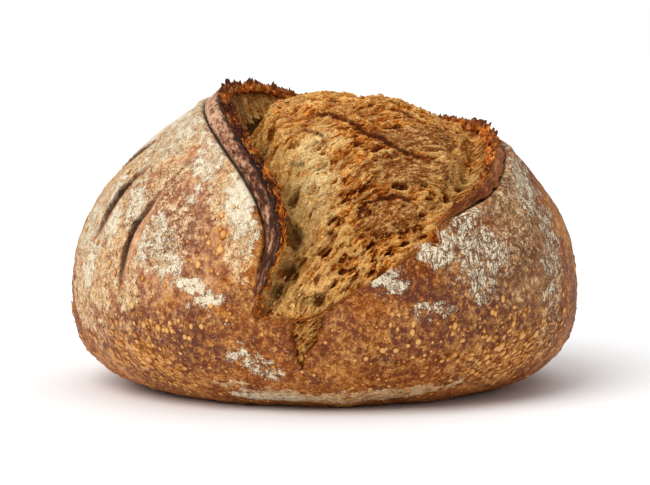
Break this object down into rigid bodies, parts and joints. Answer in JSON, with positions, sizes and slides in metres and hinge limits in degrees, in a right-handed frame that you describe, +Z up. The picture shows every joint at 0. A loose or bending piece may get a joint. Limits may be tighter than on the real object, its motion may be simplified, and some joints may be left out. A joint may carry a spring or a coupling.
{
  "type": "sourdough loaf",
  "caption": "Round crusty sourdough loaf with a flat base, a burst-open crown of torn crumb, a raised ear and scored, floured flanks.",
  "frame": {"origin": "centre of the flat base, on the surface that the loaf stands on", "axes": "+X to the loaf's right as seen from its torn front, +Y to its back, +Z up"},
  "size_m": [0.2405, 0.2158, 0.1424],
  "materials": {
    "baked_crust": "matt, floured, blistered brown crust with a golden torn crumb"
  },
  "bodies": {
    "root": {"loaf": "baked_crust"}
  },
  "joints": []
}
